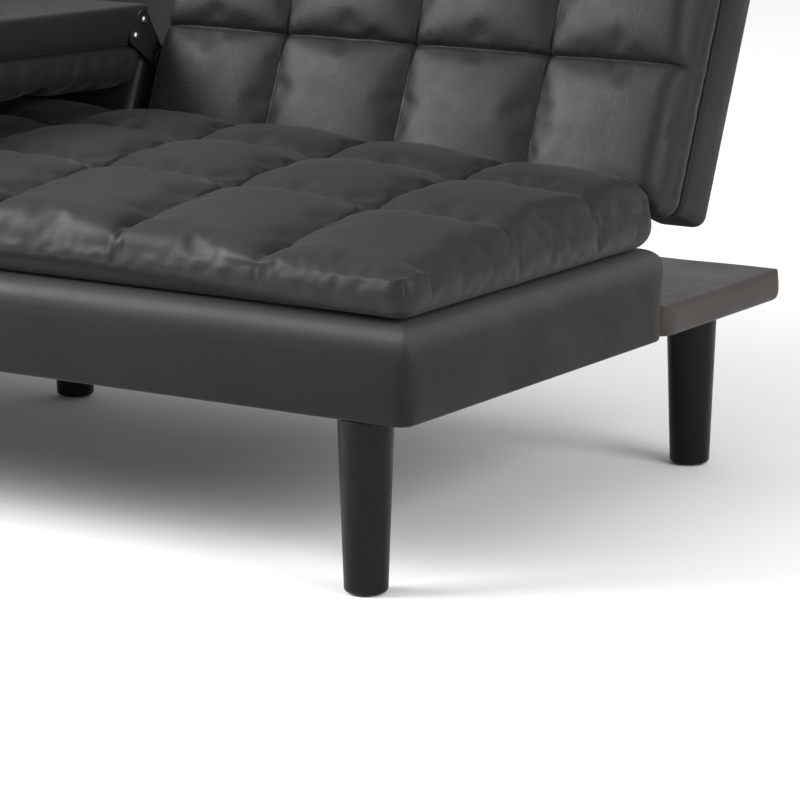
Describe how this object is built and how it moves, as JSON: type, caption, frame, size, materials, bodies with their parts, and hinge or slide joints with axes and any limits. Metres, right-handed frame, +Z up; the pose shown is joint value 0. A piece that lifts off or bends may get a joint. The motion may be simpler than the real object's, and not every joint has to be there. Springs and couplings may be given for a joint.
{
  "type": "futon sofa bed",
  "caption": "Armless tufted futon sofa bed with a reclining click-clack back, drop-down centre console with cup wells, padded base and tapered legs.",
  "frame": {"origin": "on the floor, below the centre of the object's bounding box", "axes": "+X along the sofa's length, to the right seen from the front; -Y out of the front of the seat; +Z up"},
  "size_m": [1.74, 0.8136, 0.8033],
  "materials": {
    "faux_leather": "satin",
    "black_leg": "satin",
    "black_plastic": "satin",
    "zinc_steel": "satin",
    "bare_wood": "matte",
    "dust_cover": "matte"
  },
  "bodies": {
    "base": {"base_centre_beam": "bare_wood", "base_dust_cover": "dust_cover", "base_front_rail": "faux_leather", "base_rear_rail": "faux_leather", "base_side_rail_left": "faux_leather", "base_side_rail_right": "faux_leather", "corner_block_front_left": "bare_wood", "corner_block_front_right": "bare_wood", "corner_block_rear_left": "bare_wood", "corner_block_rear_right": "bare_wood", "hinge_base_plate_left": "zinc_steel", "hinge_base_plate_right": "zinc_steel", "hinge_pin_left": "zinc_steel", "hinge_pin_right": "zinc_steel", "leg_front_left": "black_leg", "leg_front_right": "black_leg", "leg_rear_centre": "black_leg", "leg_rear_left": "black_leg", "leg_rear_right": "black_leg", "rear_deck_board": "faux_leather", "seat_deck_board": "bare_wood", "seat_pad": "faux_leather"},
    "backrest": {"back_bottom_end_left": "faux_leather", "back_bottom_end_right": "faux_leather", "back_bottom_rail": "faux_leather", "back_end_stile_left": "faux_leather", "back_end_stile_right": "faux_leather", "back_mid_stile_left": "bare_wood", "back_mid_stile_right": "bare_wood", "back_pad_centre": "faux_leather", "back_pad_left": "faux_leather", "back_pad_right": "faux_leather", "back_rear_panel": "faux_leather", "back_recess_rail": "faux_leather", "back_recess_stile_left": "faux_leather", "back_recess_stile_right": "faux_leather", "back_top_cross_rail": "faux_leather", "back_top_rail_left": "faux_leather", "back_top_rail_right": "faux_leather", "console_pivot_pin_left": "zinc_steel", "console_pivot_pin_right": "zinc_steel", "console_pivot_plate_left": "zinc_steel", "console_pivot_plate_right": "zinc_steel", "hinge_back_arm_left": "zinc_steel", "hinge_back_arm_right": "zinc_steel"},
    "console": {"console_arm_left": "zinc_steel", "console_arm_right": "zinc_steel", "console_bolt_left_1": "zinc_steel", "console_bolt_left_2": "zinc_steel", "console_bolt_right_1": "zinc_steel", "console_bolt_right_2": "zinc_steel", "console_box": "faux_leather", "console_pad": "faux_leather", "cup_holder_left": "black_plastic", "cup_holder_right": "black_plastic"}
  },
  "joints": [
    {"name": "back_recline", "type": "hinge", "parent": "base", "child": "backrest", "pos_m": [0, 0.13787, 0.3341], "axis": [-1, 0, 0], "range_deg": [0, 67.5]},
    {"name": "console_fold", "type": "hinge", "parent": "backrest", "child": "console", "pos_m": [0, 0.15575, 0.43082], "axis": [-1, 0, 0], "range_deg": [0, 110.3]}
  ]
}
